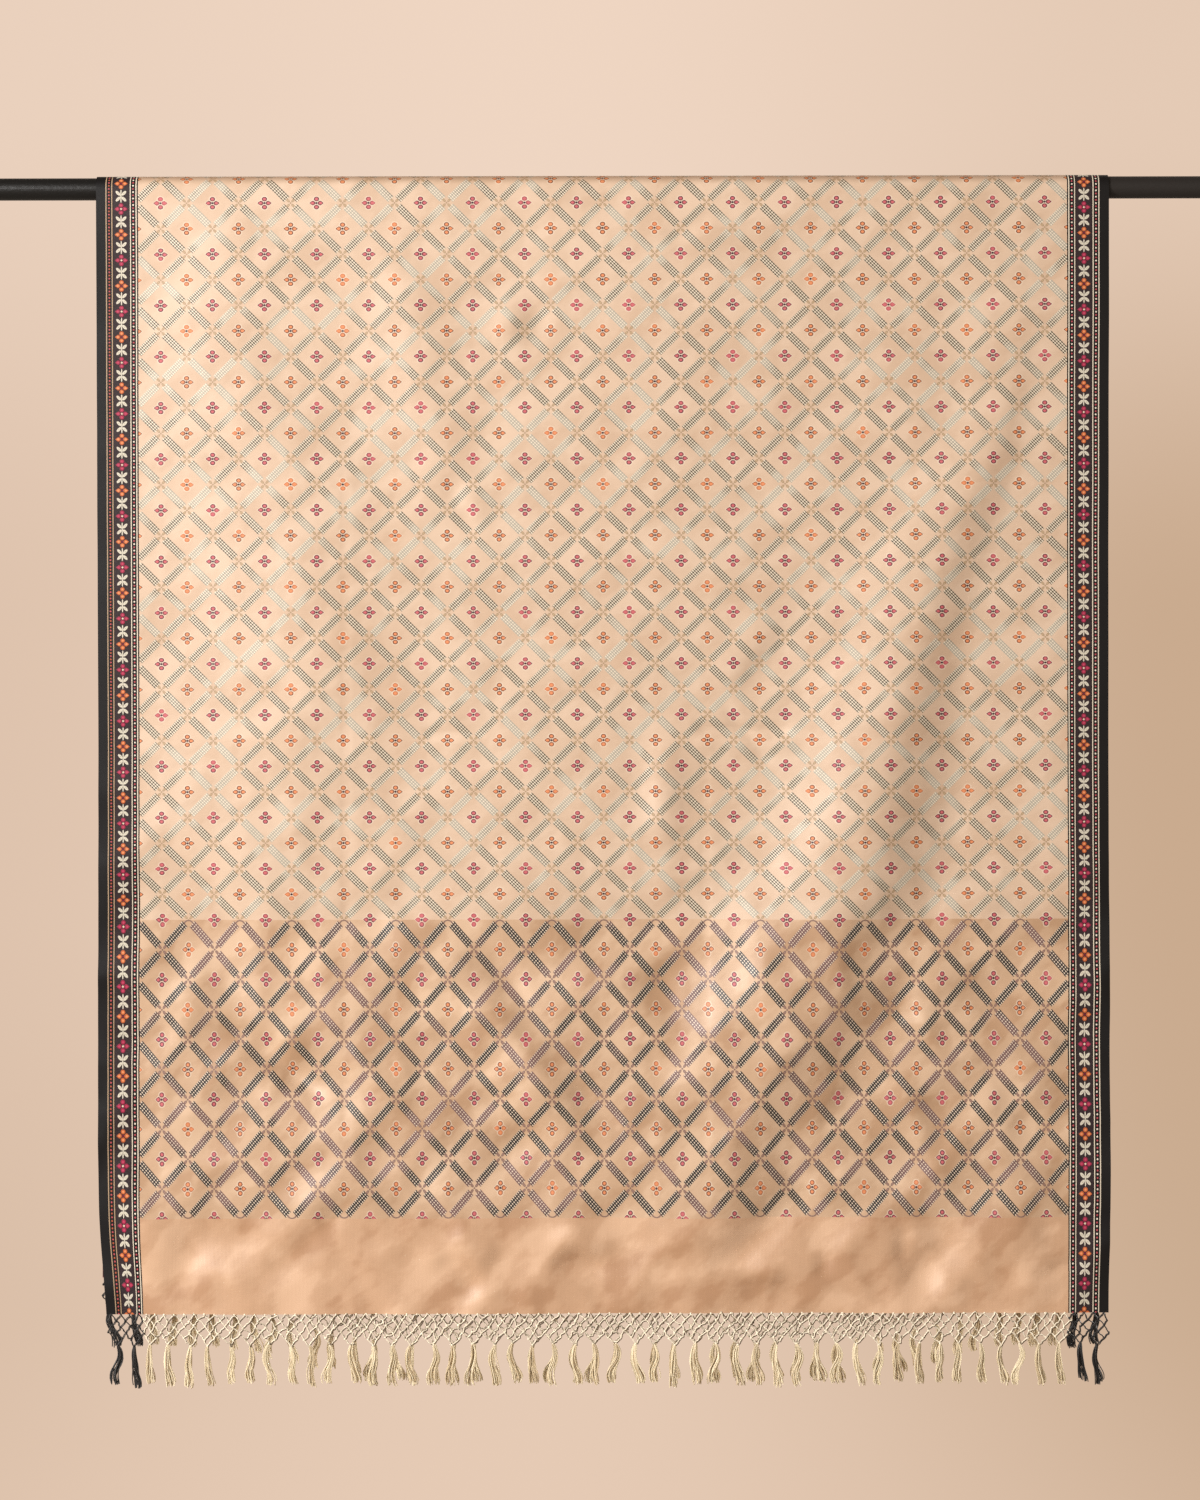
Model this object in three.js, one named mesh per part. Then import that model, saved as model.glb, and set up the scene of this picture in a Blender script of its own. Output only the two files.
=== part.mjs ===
// A woven dupatta stole with flowered side borders and a knotted, tasselled fringe,
// hung over a round rod. Millimetres: X runs along the rod, the front of the cloth
// faces -Y, +Z is up, and the origin is on the rod's axis, half way along it.
import * as THREE from "three";

// Driving dimensions
const rodDiameter = 22;
const rodLength = 1300;
const rodSides = 48;
const wall = 1.2;
const seamGap = 0.3;
const clothWidth = 1013;
const borderWidth = 42;
const bandHeight = 95.5;
const palluHeight = 298.5;
const netHeight = 31;
const tasselLength = 43;
const tasselThickness = 5;
const blackTasselWidth = 40.5;
const frontDrop = 1127;
const backDropSides = 1094;
const backDropMiddle = 1130;
const backSag = { centre: 10, flatReach: 200, endReach: 420 };
const rodClearance = 60;
const cellHeight = 45;
const frontColumns = 20;
const backColumns = 14;
const turnSteps = 10;

// Worked out from them
const innerRadius = rodDiameter / 2 + seamGap;
const halfWidth = clothWidth / 2;
const fieldHalf = halfWidth - borderWidth;
const blackHalf = halfWidth - blackTasselWidth;

// Long folds of the front. Each row is one height on the fold: its drop below the
// rod's axis, where its crest lies across the cloth, how far the crest rises from the
// hanging plane, and how far the fold reaches to the left and to the right of it.
const foldColumns = ["drop", "crest", "rise", "left", "right"];
const frontFolds = {
  shoulder: [
    [0, -381, 0, 90, 50],
    [100, -378, 2, 90, 80],
    [215, -355, 3, 115, 95],
    [300, -320, 4, 140, 110],
    [430, -309, 4.5, 145, 115],
    [540, -309, 4.5, 145, 115],
    [640, -314, 3.5, 140, 110],
    [760, -325, 1, 120, 90],
    [860, -330, 0, 110, 80],
  ],
  swag: [
    [120, 412, 0, 60, 25],
    [250, 392, 4, 80, 34],
    [360, 338, 9, 105, 56],
    [483, 300, 13, 115, 68],
    [560, 279, 16.5, 118, 84],
    [635, 264, 19, 122, 94],
    [700, 246, 20, 132, 98],
    [757, 222, 19, 138, 98],
    [863, 180, 16, 132, 100],
    [940, 145, 12.5, 118, 90],
    [1000, 116, 9, 105, 84],
    [1045, 96, 6, 95, 74],
    [1127, 70, 1, 80, 60],
  ],
  middle: [
    [520, 68, 0, 40, 40],
    [575, 69, 3, 45, 48],
    [645, 70, 4, 48, 50],
    [715, 66, 3, 45, 48],
    [790, 58, 0, 40, 40],
  ],
  lowerMiddle: [
    [725, -180, 0, 50, 50],
    [780, -146, 6.5, 62, 48],
    [845, -104, 10.5, 68, 50],
    [905, -62, 8.5, 62, 48],
    [985, -30, 0, 45, 45],
  ],
  lowerLeft: [
    [930, -215, 0, 50, 45],
    [985, -254, 2, 70, 55],
    [1040, -300, 3, 75, 55],
    [1085, -350, 2.5, 70, 50],
    [1127, -385, 1, 50, 45],
  ],
};

// Long folds of the back, with the same columns.
const backFolds = {
  swag: [
    [110, -402, 0, 40, 60],
    [300, -340, 6, 60, 100],
    [520, -270, 11, 70, 115],
    [720, -205, 12, 80, 120],
    [900, -150, 9, 80, 110],
    [1127, -100, 2, 70, 90],
  ],
  shoulder: [
    [60, 330, 0, 70, 90],
    [260, 322, 6, 90, 130],
    [520, 300, 8, 100, 140],
    [740, 306, 6, 95, 130],
    [930, 318, 0, 80, 110],
  ],
  middle: [
    [420, 60, 0, 45, 45],
    [560, 52, 4, 55, 50],
    [760, 36, 5, 60, 55],
    [960, 12, 0, 50, 45],
  ],
};

// How far the side edges of each layer draw in towards the middle lower down.
const drawInColumns = ["drop", "left", "right"];
const frontDrawIn = [
  [0, 0, 0],
  [600, 1.5, 1.5],
  [960, 0.8, 0.5],
  [1050, 2.5, 1.2],
  [1127, 8.5, 2.6],
  [1210, 10, 3],
];
const backDrawIn = [
  [0, 0, 0],
  [1130, 1, 4],
  [1210, 1, 5],
];
const drawInReach = 75;

const colours = {
  rod: 0x1b1816,
  ground: 0xe6ccb0,
  pallu: 0xd8b893,
  band: 0xd3ac86,
  border: 0x2b2022,
  cream: 0xc9b184,
  black: 0x1c1a19,
};

function smoothStep(value) {
  const t = THREE.MathUtils.clamp(value, 0, 1);
  return t * t * (3 - 2 * t);
}

// Reads a table at any drop: a smooth curve goes through its rows, column by column.
function readTable(rows, columns, drop) {
  const last = rows.length - 1;
  let k = 0;
  while (k < last - 1 && drop > rows[k + 1][0]) {
    k += 1;
  }
  const from = rows[k];
  const to = rows[k + 1];
  const before = rows[Math.max(k - 1, 0)];
  const after = rows[Math.min(k + 2, last)];
  const span = to[0] - from[0];
  const t = THREE.MathUtils.clamp((drop - from[0]) / span, 0, 1);
  const read = {};
  columns.forEach((column, c) => {
    const startSlope = ((to[c] - before[c]) / (to[0] - before[0])) * span;
    const endSlope = ((after[c] - from[c]) / (after[0] - from[0])) * span;
    const change = to[c] - from[c];
    read[column] =
      from[c] +
      t * startSlope +
      t * t * (3 * change - 2 * startSlope - endSlope) +
      t * t * t * (startSlope + endSlope - 2 * change);
  });
  return read;
}

// How far a layer's folds lift it from the hanging plane at a place on it.
function foldRise(folds, across, drop) {
  let rise = 0;
  for (const rows of Object.values(folds)) {
    const fold = readTable(rows, foldColumns, drop);
    const aside = across - fold.crest;
    const reach = aside < 0 ? fold.left : fold.right;
    rise += Math.max(fold.rise, 0) * (1 - smoothStep(Math.abs(aside) / reach));
  }
  return rise * smoothStep(drop / rodClearance);
}

function drawnIn(rows, across, drop) {
  const pull = readTable(rows, drawInColumns, drop);
  const leftShare = (1 - smoothStep((across + halfWidth) / drawInReach)) * pull.left;
  const rightShare = (1 - smoothStep((halfWidth - across) / drawInReach)) * pull.right;
  return across + leftShare - rightShare;
}

function backHem(across) {
  const beyond = Math.abs(across - backSag.centre) - backSag.flatReach;
  const share = smoothStep(beyond / (backSag.endReach - backSag.flatReach));
  return backDropMiddle - (backDropMiddle - backDropSides) * share;
}

// The two layers: which way each faces, its hem, its folds and its drawn-in edges.
const layers = {
  front: {
    facing: -1,
    hem: () => frontDrop,
    folds: frontFolds,
    drawIn: frontDrawIn,
    columns: frontColumns,
  },
  back: {
    facing: 1,
    hem: backHem,
    folds: backFolds,
    drawIn: backDrawIn,
    columns: backColumns,
  },
};

// A point of a hanging layer, a distance out from its inner face.
function layerPoint(layer, across, drop, out) {
  const clear = innerRadius + foldRise(layer.folds, across, drop) + out;
  return new THREE.Vector3(drawnIn(layer.drawIn, across, drop), layer.facing * clear, -drop);
}

// A closed wall between an outer and an inner grid of points of the same size.
function wallGeometry(outer, inner) {
  const rowCount = outer.length;
  const columnCount = outer[0].length;
  const innerStart = rowCount * columnCount;
  const positions = [...outer.flat(), ...inner.flat()].flatMap((p) => [p.x, p.y, p.z]);
  const triangles = [];
  const quad = (a, b, c, d) => triangles.push(a, b, c, a, c, d);
  for (let r = 0; r < rowCount - 1; r += 1) {
    for (let c = 0; c < columnCount - 1; c += 1) {
      const a = r * columnCount + c;
      const below = a + columnCount;
      quad(a, below, below + 1, a + 1);
      const i = innerStart + a;
      const innerBelow = i + columnCount;
      triangles.push(i, innerBelow + 1, innerBelow, i, i + 1, innerBelow + 1);
    }
  }
  const rim = [];
  for (let c = 0; c < columnCount - 1; c += 1) {
    rim.push(c);
  }
  for (let r = 0; r < rowCount - 1; r += 1) {
    rim.push(r * columnCount + columnCount - 1);
  }
  for (let c = columnCount - 1; c > 0; c -= 1) {
    rim.push((rowCount - 1) * columnCount + c);
  }
  for (let r = rowCount - 1; r > 0; r -= 1) {
    rim.push(r * columnCount);
  }
  rim.forEach((a, k) => {
    const b = rim[(k + 1) % rim.length];
    quad(a, b, innerStart + b, innerStart + a);
  });
  return facedOut(positions, triangles);
}

// Turns the triangles round if they enclose a negative volume.
function facedOut(positions, triangles) {
  const corner = (k) => new THREE.Vector3().fromArray(positions, triangles[k] * 3);
  let volume = 0;
  for (let k = 0; k < triangles.length; k += 3) {
    volume += corner(k).dot(corner(k + 1).cross(corner(k + 2)));
  }
  const index = volume < 0 ? [...triangles].reverse() : triangles;
  const geometry = new THREE.BufferGeometry();
  geometry.setAttribute("position", new THREE.Float32BufferAttribute(positions, 3));
  geometry.setIndex(index);
  geometry.computeVertexNormals();
  return geometry;
}

// A wall of a hanging layer between two places across and two drops, which may
// follow the hem. reach gives how far its inner and outer faces stand out.
function hangingWall(layer, side, drops, columns, reach) {
  const height = drops.bottom(0) - drops.top(0);
  const rowTotal = Math.max(Math.round(height / cellHeight), 1);
  const grid = (out) =>
    Array.from({ length: rowTotal + 1 }, (_, r) =>
      Array.from({ length: columns + 1 }, (__, c) => {
        const across = THREE.MathUtils.lerp(side.from, side.to, c / columns);
        const drop = THREE.MathUtils.lerp(drops.top(across), drops.bottom(across), r / rowTotal);
        return layerPoint(layer, across, drop, out);
      }),
    );
  return wallGeometry(grid(reach.outer), grid(reach.inner));
}

// The half turn of cloth over the rod between two places across.
function overRodWall(side) {
  const grid = (radius) =>
    Array.from({ length: turnSteps + 1 }, (_, r) => {
      const angle = (Math.PI * r) / turnSteps;
      return [side.from, side.to].map(
        (across) => new THREE.Vector3(across, -radius * Math.cos(angle), radius * Math.sin(angle)),
      );
    });
  return wallGeometry(grid(innerRadius + wall), grid(innerRadius));
}

const part = new THREE.Group();

function addPiece(name, geometry, colour, roughness) {
  const material = new THREE.MeshStandardMaterial({ color: colour, roughness, metalness: 0 });
  const mesh = new THREE.Mesh(geometry, material);
  mesh.name = name;
  part.add(mesh);
  return mesh;
}

// Stretches across the cloth, kept a seam apart.
const half = seamGap / 2;
const sides = {
  field: { from: -fieldHalf + half, to: fieldHalf - half },
  left: { from: -halfWidth, to: -fieldHalf - half },
  right: { from: fieldHalf + half, to: halfWidth },
};
const fringeSides = {
  middle: { from: -blackHalf + half, to: blackHalf - half },
  left: { from: -halfWidth, to: -blackHalf - half },
  right: { from: blackHalf + half, to: halfWidth },
};
const clothReach = { inner: 0, outer: wall };
const tasselReach = {
  inner: (wall - tasselThickness) / 2,
  outer: (wall + tasselThickness) / 2,
};

function addRod() {
  const geometry = new THREE.CylinderGeometry(rodDiameter / 2, rodDiameter / 2, rodLength, rodSides);
  addPiece("hanging_rod", geometry, colours.rod, 0.45).rotation.z = Math.PI / 2;
}

function addOverRod() {
  addPiece("field_over_rod", overRodWall(sides.field), colours.ground, 0.55);
  addPiece("border_over_rod_left", overRodWall(sides.left), colours.border, 0.6);
  addPiece("border_over_rod_right", overRodWall(sides.right), colours.border, 0.6);
}

// One hanging layer: field, pallu, end band and the two side borders.
function addLayer(name, layer) {
  const columns = layer.columns;
  const rodEdge = () => seamGap;
  const palluTop = (across) => layer.hem(across) - bandHeight - palluHeight;
  const bandTop = (across) => layer.hem(across) - bandHeight;
  const above = (line) => (across) => line(across) - half;
  const below = (line) => (across) => line(across) + half;
  const zones = [
    ["field", { top: rodEdge, bottom: above(palluTop) }, colours.ground],
    ["pallu", { top: below(palluTop), bottom: above(bandTop) }, colours.pallu],
    ["end_band", { top: below(bandTop), bottom: layer.hem }, colours.band],
  ];
  for (const [zone, drops, colour] of zones) {
    const geometry = hangingWall(layer, sides.field, drops, columns, clothReach);
    addPiece(`${zone}_${name}`, geometry, colour, 0.55);
  }
  const borderDrops = { top: rodEdge, bottom: layer.hem };
  for (const side of ["left", "right"]) {
    const geometry = hangingWall(layer, sides[side], borderDrops, 1, clothReach);
    addPiece(`border_${name}_${side}`, geometry, colours.border, 0.6);
  }
}

// One layer's fringe: the knotted net and, under it, the reach of the tassels.
function addFringe(name, layer) {
  const netTop = (across) => layer.hem(across) + seamGap;
  const netEnd = (across) => layer.hem(across) + netHeight;
  const tasselTop = (across) => netEnd(across) + seamGap;
  const tasselEnd = (across) => netEnd(across) + tasselLength;
  for (const [place, side] of Object.entries(fringeSides)) {
    const suffix = place === "middle" ? name : `${name}_${place}`;
    const colour = place === "middle" ? colours.cream : colours.black;
    const columns = place === "middle" ? layer.columns : 1;
    const net = { top: netTop, bottom: netEnd };
    const tassels = { top: tasselTop, bottom: tasselEnd };
    const netWall = hangingWall(layer, side, net, columns, clothReach);
    const tasselWall = hangingWall(layer, side, tassels, columns, tasselReach);
    addPiece(`fringe_net_${suffix}`, netWall, colour, 0.8);
    addPiece(`tassels_${suffix}`, tasselWall, colour, 0.8);
  }
}

addRod();
addOverRod();
for (const [name, layer] of Object.entries(layers)) {
  addLayer(name, layer);
  addFringe(name, layer);
}

export default part;
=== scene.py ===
"""A peach satin dupatta stole with a woven lattice, flowered black borders and a knotted,
tasselled fringe, hung over a black rod. Metres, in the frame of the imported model: X runs
along the rod, the front of the cloth faces -Y, +Z is up. Tables are in millimetres."""
import bpy
import math
import random
import numpy as np
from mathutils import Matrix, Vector, noise


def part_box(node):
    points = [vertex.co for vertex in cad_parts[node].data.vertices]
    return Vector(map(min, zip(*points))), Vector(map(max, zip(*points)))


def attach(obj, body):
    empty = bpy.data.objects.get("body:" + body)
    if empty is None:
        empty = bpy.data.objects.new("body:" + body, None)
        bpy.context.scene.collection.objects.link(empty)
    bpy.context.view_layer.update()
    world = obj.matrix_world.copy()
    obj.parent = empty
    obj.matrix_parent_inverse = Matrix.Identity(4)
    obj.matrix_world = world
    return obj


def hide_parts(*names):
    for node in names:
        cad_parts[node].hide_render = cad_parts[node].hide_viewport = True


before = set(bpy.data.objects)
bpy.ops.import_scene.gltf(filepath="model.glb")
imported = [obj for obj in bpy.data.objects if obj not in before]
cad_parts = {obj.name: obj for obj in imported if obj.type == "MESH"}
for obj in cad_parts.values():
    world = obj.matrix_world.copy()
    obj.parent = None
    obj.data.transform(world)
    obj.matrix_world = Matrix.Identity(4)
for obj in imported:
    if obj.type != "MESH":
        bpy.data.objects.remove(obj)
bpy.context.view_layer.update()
MM = 0.001


# ---------------- sizes from the frame

def low(node):
    """A node's lowest corner, in millimetres."""
    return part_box(node)[0] / MM


def high(node):
    """A node's highest corner, in millimetres."""
    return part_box(node)[1] / MM


OUTER_RADIUS = high("field_over_rod").z
CLOTH_THICKNESS = 0.55
CLOTH_RADIUS = OUTER_RADIUS - 0.1
HALF_WIDTH = high("border_over_rod_right").x
FIELD_HALF = (high("field_over_rod").x + low("border_over_rod_right").x) / 2
FRONT_HEM = -low("end_band_front").z
BAND_HEIGHT = FRONT_HEM + (low("pallu_front").z + high("end_band_front").z) / 2
PALLU_HEIGHT = FRONT_HEM - BAND_HEIGHT + (low("field_front").z + high("pallu_front").z) / 2
BACK_HEM_MIDDLE = -low("end_band_back").z
BACK_HEM_SIDES = -low("border_back_left").z
NET_HEIGHT = -FRONT_HEM - low("fringe_net_front").z
TASSEL_LENGTH = low("fringe_net_front").z - low("tassels_front").z

# The weave: repeats of the lattice across and along the cloth.
REPEAT_ACROSS = 52.0
REPEAT_ALONG = 51.2
PALLU_REPEATS = 5
PALLU_REPEAT = PALLU_HEIGHT / PALLU_REPEATS
FIELD_TOP_REPEATS = PALLU_REPEATS + (FRONT_HEM - BAND_HEIGHT - PALLU_HEIGHT) / REPEAT_ALONG
TURN_REPEATS = math.pi * OUTER_RADIUS / REPEAT_ALONG
MIRROR_REPEATS = 39

# The fringe.
TASSELS = 50
TASSEL_PITCH = 2 * HALF_WIDTH / TASSELS
BLACK_TASSELS = 2
NET_ROWS = 4
TIE_GAP = 6.5
FRINGE_OUT = -0.4
TASSEL_STEPS = 6
NET_VALUES = {"Thread": 0.6 * MM, "Knot": 1.15 * MM, "Wander": 9.0 * MM}
TASSEL_VALUES = {"Strands": 22, "Thread": 0.55 * MM, "Spread": 4.0 * MM, "Wave": 1.5 * MM}

# The mesh of the cloth.
CELL = 4.6
TURN_CELLS = 14
ROD_CLEARANCE = 60.0
DRAW_IN_REACH = 75.0


# ---------------- drape tables

# Long folds, a row for each height: drop below the rod's axis, where the crest lies
# across, its rise from the hanging plane, and its reach to the left and to the right.
FRONT_FOLDS = {
    "shoulder": [
        (0, -381, 0, 90, 50),
        (100, -378, 2, 90, 80),
        (215, -355, 3, 115, 95),
        (300, -320, 4, 140, 110),
        (430, -309, 4.5, 145, 115),
        (540, -309, 4.5, 145, 115),
        (640, -314, 3.5, 140, 110),
        (760, -325, 1, 120, 90),
        (860, -330, 0, 110, 80),
    ],
    "swag": [
        (120, 412, 0, 60, 25),
        (250, 392, 4, 80, 34),
        (360, 338, 9, 105, 56),
        (483, 300, 13, 115, 68),
        (560, 279, 16.5, 118, 84),
        (635, 264, 19, 122, 94),
        (700, 246, 20, 132, 98),
        (757, 222, 19, 138, 98),
        (863, 180, 16, 132, 100),
        (940, 145, 12.5, 118, 90),
        (1000, 116, 9, 105, 84),
        (1045, 96, 6, 95, 74),
        (1127, 70, 1, 80, 60),
    ],
    "middle": [
        (520, 68, 0, 40, 40),
        (575, 69, 3, 45, 48),
        (645, 70, 4, 48, 50),
        (715, 66, 3, 45, 48),
        (790, 58, 0, 40, 40),
    ],
    "lower_middle": [
        (725, -180, 0, 50, 50),
        (780, -146, 6.5, 62, 48),
        (845, -104, 10.5, 68, 50),
        (905, -62, 8.5, 62, 48),
        (985, -30, 0, 45, 45),
    ],
    "lower_left": [
        (930, -215, 0, 50, 45),
        (985, -254, 2, 70, 55),
        (1040, -300, 3, 75, 55),
        (1085, -350, 2.5, 70, 50),
        (1127, -385, 1, 50, 45),
    ],
}
BACK_FOLDS = {
    "swag": [
        (110, -402, 0, 40, 60),
        (300, -340, 6, 60, 100),
        (520, -270, 11, 70, 115),
        (720, -205, 12, 80, 120),
        (900, -150, 9, 80, 110),
        (1127, -100, 2, 70, 90),
    ],
    "shoulder": [
        (60, 330, 0, 70, 90),
        (260, 322, 6, 90, 130),
        (520, 300, 8, 100, 140),
        (740, 306, 6, 95, 130),
        (930, 318, 0, 80, 110),
    ],
    "middle": [
        (420, 60, 0, 45, 45),
        (560, 52, 4, 55, 50),
        (760, 36, 5, 60, 55),
        (960, 12, 0, 50, 45),
    ],
}

# Creases: from across and drop, to across and drop, half width, and rise (a trough is
# below zero).
FRONT_CREASES = [
    (66, 54, 113, 23, 7, -2),
    (-98, 158, -88, 122, 17, 2.3),
    (-72, 162, -64, 116, 15, -2.3),
    (-205, 75, -150, 320, 30, 2.4),
    (-140, 300, -122, 336, 13, 1.7),
    (-156, 296, -130, 344, 12, -1.5),
    (-178, 548, -120, 546, 4, -1.7),
    (-176, 556, -124, 554, 6, 1),
    (92, 543, 186, 546, 5, -2.6),
    (92, 556, 190, 558, 8, 2),
    (190, 440, 138, 512, 20, -2.8),
    (170, 430, 122, 498, 20, 2.2),
    (62, 556, 54, 650, 15, 2),
    (92, 590, 76, 720, 18, -2.4),
    (120, 520, 165, 575, 6, -1.4),
    (-376, 836, -288, 900, 17, -6),
    (-372, 826, -300, 862, 14, 3.2),
    (-260, 868, -200, 912, 15, 3.2),
    (-330, 880, -282, 908, 9, -2.6),
    (-420, 790, -372, 838, 20, 3),
    (20, 800, 66, 872, 18, 1.8),
    (50, 780, 92, 850, 15, -1.6),
    (-30, 905, 20, 940, 16, -3.6),
    (-240, 960, -170, 990, 20, -3.4),
    (-186, 852, -158, 858, 7, -2.2),
    (-124, 950, -84, 975, 18, -3),
    (292, 828, 466, 826, 4, -1.4),
    (296, 836, 380, 835, 7, 1.6),
    (296, 896, 326, 970, 14, 3.4),
    (380, 870, 430, 960, 22, -3),
    (-395, 1036, -440, 1112, 20, -5),
    (-246, 1010, -344, 1094, 16, -4),
    (-150, 1048, -112, 1072, 18, 3.6),
    (-164, 1072, -128, 1108, 16, -4.6),
    (-52, 1052, 8, 1060, 12, 3),
    (-50, 1076, 0, 1082, 12, -3),
    (206, 1006, 120, 1078, 18, -5.2),
    (118, 1082, 176, 1090, 9, 2.6),
    (222, 1068, 216, 1092, 9, -2.8),
    (300, 1040, 296, 1080, 8, -2.4),
    (352, 1044, 300, 1108, 20, -5),
    (400, 1046, 440, 1112, 24, 4.4),
    (-258, 300, -258, 1010, 2.5, -0.5),
    (102, 560, 100, 1010, 2.5, -0.4),
    (430, 1095, 480, 1070, 6, -1.5),
]
BACK_CREASES = [
    (-120, 60, -60, 32, 8, -2.1),
    (100, 170, 92, 126, 14, 3.6),
    (190, 560, 260, 556, 5, -2.2),
    (-30, 640, 20, 700, 15, 3),
    (-10, 820, -70, 880, 15, -3.3),
    (240, 850, 300, 912, 14, 3.3),
    (-420, 700, -330, 742, 14, 2.7),
    (330, 1010, 240, 1060, 14, -3.6),
    (-300, 990, -230, 1044, 15, 3),
    (60, 1050, 128, 1076, 14, 2.7),
    (258, 300, 258, 1000, 2.5, -0.5),
    (-102, 560, -100, 1000, 2.5, -0.4),
]

# How far the side edges draw in: drop, at the left, at the right.
FRONT_DRAW_IN = [
    (0, 0, 0),
    (600, 1.5, 1.5),
    (960, 0.8, 0.5),
    (1050, 2.5, 1.2),
    (1127, 8.5, 2.6),
    (1210, 10, 3),
]
BACK_DRAW_IN = [
    (0, 0, 0),
    (1130, 1, 4),
    (1210, 1, 5),
]
BACK_SAG = {"centre": 10, "flat_reach": 200, "end_reach": 420}


# ---------------- drape functions

def smooth_step(value):
    t = np.clip(value, 0, 1)
    return t * t * (3 - 2 * t)


def read_table(rows, drop):
    """Every column of a table at the drops given, on a smooth curve through its rows."""
    table = np.array(rows, float)
    at, values = table[:, 0], table[:, 1:]
    last = len(at) - 1
    before = np.maximum(np.arange(last + 1) - 1, 0)
    after = np.minimum(np.arange(last + 1) + 1, last)
    slopes = (values[after] - values[before]) / (at[after] - at[before])[:, None]
    k = np.clip(np.searchsorted(at, drop, side="left") - 1, 0, last - 1)
    span = at[k + 1] - at[k]
    t = np.clip((drop - at[k]) / span, 0, 1)[..., None]
    start = slopes[k] * span[..., None]
    end = slopes[k + 1] * span[..., None]
    change = values[k + 1] - values[k]
    curve = values[k] + t * start + t * t * (3 * change - 2 * start - end)
    curve = curve + t**3 * (start + end - 2 * change)
    return np.moveaxis(curve, -1, 0)


def fold_rise(folds, across, drop):
    rise = np.zeros_like(across)
    for rows in folds.values():
        crest, height, left, right = read_table(rows, drop)
        aside = across - crest
        reach = np.where(aside < 0, left, right)
        rise += np.maximum(height, 0) * (1 - smooth_step(np.abs(aside) / reach))
    return rise


def crease_rise(creases, across, drop):
    rise = np.zeros_like(across)
    for from_across, from_drop, to_across, to_drop, half_width, height in creases:
        run_across, run_drop = to_across - from_across, to_drop - from_drop
        length = math.hypot(run_across, run_drop)
        out_across, out_drop = across - from_across, drop - from_drop
        along = (out_across * run_across + out_drop * run_drop) / length
        aside = (out_across * run_drop - out_drop * run_across) / length
        taper = min(0.45 * length, 2.5 * half_width)
        ends = smooth_step((along + 0.4 * taper) / taper)
        ends = ends * smooth_step((length + 0.4 * taper - along) / taper)
        rise += height * ends * np.exp(-((aside / half_width) ** 2))
    return rise


def uneven_rise(seed, across, drop):
    """Unevenness of hanging cloth: soft swells, and slanting crumples low down."""
    swells = [(150.0, 3.0), (62.0, 1.3), (24.0, 0.3)]
    crumples = [(118.0, 12.0, 0.62), (64.0, 7.0, -0.75), (36.0, 2.8, 0.95)]
    soft = np.zeros(across.size)
    slanting = np.zeros(across.size)
    for k, (x, d) in enumerate(zip(across.ravel(), drop.ravel())):
        for size, height in swells:
            at = Vector((x / size, d / (1.3 * size), seed + size))
            soft[k] += height * noise.noise(at)
        for size, height, slant in crumples:
            along = x * math.cos(slant) + d * math.sin(slant)
            aside = d * math.cos(slant) - x * math.sin(slant)
            at = Vector((along / (1.7 * size), aside / size, seed - size))
            slanting[k] += height * (0.25 - math.hypot(noise.noise(at), 0.05))
    soft = soft.reshape(across.shape) * (0.6 + 0.6 * smooth_step((drop - 620) / 460))
    low_down = 0.12 + 0.83 * smooth_step((drop - 520) / 330)
    return soft + slanting.reshape(across.shape) * low_down


def front_hem(across):
    return np.full_like(across, FRONT_HEM)


def back_hem(across):
    beyond = np.abs(across - BACK_SAG["centre"]) - BACK_SAG["flat_reach"]
    share = smooth_step(beyond / (BACK_SAG["end_reach"] - BACK_SAG["flat_reach"]))
    return BACK_HEM_MIDDLE - (BACK_HEM_MIDDLE - BACK_HEM_SIDES) * share


LAYERS = {
    "front": {
        "facing": -1,
        "hem": front_hem,
        "folds": FRONT_FOLDS,
        "creases": FRONT_CREASES,
        "draw_in": FRONT_DRAW_IN,
        "seed": 3.7,
    },
    "back": {
        "facing": 1,
        "hem": back_hem,
        "folds": BACK_FOLDS,
        "creases": BACK_CREASES,
        "draw_in": BACK_DRAW_IN,
        "seed": 11.2,
    },
}


def layer_points(layer, across, drop, out=0.0):
    """Points of a hanging layer's outer face, in millimetres, a distance out from it."""
    rise = fold_rise(layer["folds"], across, drop)
    rise = rise + crease_rise(layer["creases"], across, drop)
    rise = rise + uneven_rise(layer["seed"], across, drop)
    rise = rise * smooth_step(drop / ROD_CLEARANCE)
    pull_left, pull_right = read_table(layer["draw_in"], drop)
    x = across + (1 - smooth_step((across + HALF_WIDTH) / DRAW_IN_REACH)) * pull_left
    x = x - (1 - smooth_step((HALF_WIDTH - across) / DRAW_IN_REACH)) * pull_right
    y = layer["facing"] * (CLOTH_RADIUS + rise + out)
    return np.stack([x, y, -drop], axis=-1)


def repeats_up(layer, across, drop):
    """How many pattern repeats a place is above the top of the end band."""
    hem = layer["hem"](across)
    up = hem - drop - BAND_HEIGHT
    top_repeats = FIELD_TOP_REPEATS
    if layer["facing"] > 0:
        top_repeats = MIRROR_REPEATS - FIELD_TOP_REPEATS - TURN_REPEATS
    field_height = hem - BAND_HEIGHT - PALLU_HEIGHT
    share = (up - PALLU_HEIGHT) / field_height
    in_field = PALLU_REPEATS + share * (top_repeats - PALLU_REPEATS)
    return np.where(up > PALLU_HEIGHT, in_field, up / PALLU_REPEAT)


# ---------------- mesh helpers

def new_object(name, data):
    made = bpy.data.objects.new(name, data)
    bpy.context.scene.collection.objects.link(made)
    return made


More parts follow.
